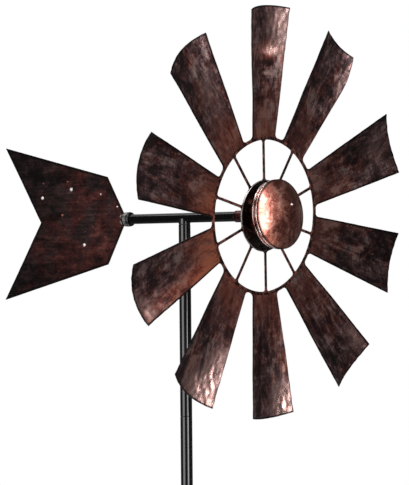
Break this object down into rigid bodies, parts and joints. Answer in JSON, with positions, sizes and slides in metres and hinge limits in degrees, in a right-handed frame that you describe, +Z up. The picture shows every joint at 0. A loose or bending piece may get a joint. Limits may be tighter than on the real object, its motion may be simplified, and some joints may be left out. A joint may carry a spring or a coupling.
{
  "type": "garden wind spinner",
  "caption": "Garden wind spinner: a windmill-style wheel of cupped metal blades and an arrow-shaped tail on a boom that swivels on a slim pole with a ground stake.",
  "frame": {"origin": "on the pole axis where the stake enters the ground, under the step bar", "axes": "+Z up along the pole, +X along the boom towards the wheel, -X towards the tail, +Y to the left seen from the tail"},
  "size_m": [0.5896, 0.609, 1.3308],
  "materials": {
    "gloss_black": "gloss black enamel on steel tube",
    "stake_black": "satin black powder coat",
    "bare_steel": "plain tube, hidden inside the joints",
    "zinc_steel": "zinc-plated steel",
    "bush_nylon": "black nylon",
    "blade_bronze": "dark brushed bronze with copper mottling, satin gloss",
    "ring_bronze": "dark red-brown bronze, satin",
    "vane_bronze": "darkest bronze with faint speckles",
    "dome_copper": "glossy mottled copper",
    "hub_black": "black, light worn rim",
    "rim_copper": "polished pale copper on the rims behind the dome",
    "hub_red": "dark red gloss"
  },
  "bodies": {
    "mast": {"stake_spike": "stake_black", "stake_step": "stake_black", "stake_prong_left": "stake_black", "stake_prong_right": "stake_black", "pole_lower": "gloss_black", "pole_middle": "gloss_black", "pole_upper": "gloss_black", "spigot_lower": "bare_steel", "spigot_upper": "bare_steel", "pole_top_plug": "bare_steel", "pivot_pin": "zinc_steel", "thrust_washer": "bush_nylon"},
    "head": {"swivel_socket": "gloss_black", "swivel_bush": "bush_nylon", "boom_tube": "gloss_black", "tail_collar": "gloss_black", "tail_band": "zinc_steel", "nose_block": "hub_red", "tail_vane": "vane_bronze", "tail_tongue": "gloss_black", "tail_screws": "zinc_steel", "tail_nuts": "zinc_steel", "axle": "zinc_steel", "axle_spacer": "zinc_steel", "axle_washer_rear": "zinc_steel", "axle_washer_front": "zinc_steel", "axle_nut": "zinc_steel"},
    "rotor": {"wheel_ring": "ring_bronze", "blade_01": "blade_bronze", "blade_02": "blade_bronze", "blade_03": "blade_bronze", "blade_04": "blade_bronze", "blade_05": "blade_bronze", "blade_06": "blade_bronze", "blade_07": "blade_bronze", "blade_08": "blade_bronze", "blade_09": "blade_bronze", "blade_10": "blade_bronze", "spoke_01": "ring_bronze", "spoke_02": "ring_bronze", "spoke_03": "ring_bronze", "spoke_04": "ring_bronze", "spoke_05": "ring_bronze", "spoke_06": "ring_bronze", "spoke_07": "ring_bronze", "spoke_08": "ring_bronze", "spoke_09": "ring_bronze", "spoke_10": "ring_bronze", "hub_dish": "hub_black", "hub_drum": "hub_red", "hub_screws": "zinc_steel", "bearing_sleeve": "hub_black", "bearing_rear": "bush_nylon", "bearing_front": "bush_nylon", "cap_backplate": "rim_copper", "balance_weight": "zinc_steel", "dome_cap": "dome_copper"}
  },
  "joints": [
    {"name": "head_yaw", "type": "hinge", "parent": "mast", "child": "head", "pos_m": [0, 0, 0.85], "axis": [0, 0, 1], "continuous": true},
    {"name": "wheel_spin", "type": "hinge", "parent": "head", "child": "rotor", "pos_m": [0.159, 0, 0.85], "axis": [0.9983, 0, -0.0576], "continuous": true}
  ]
}
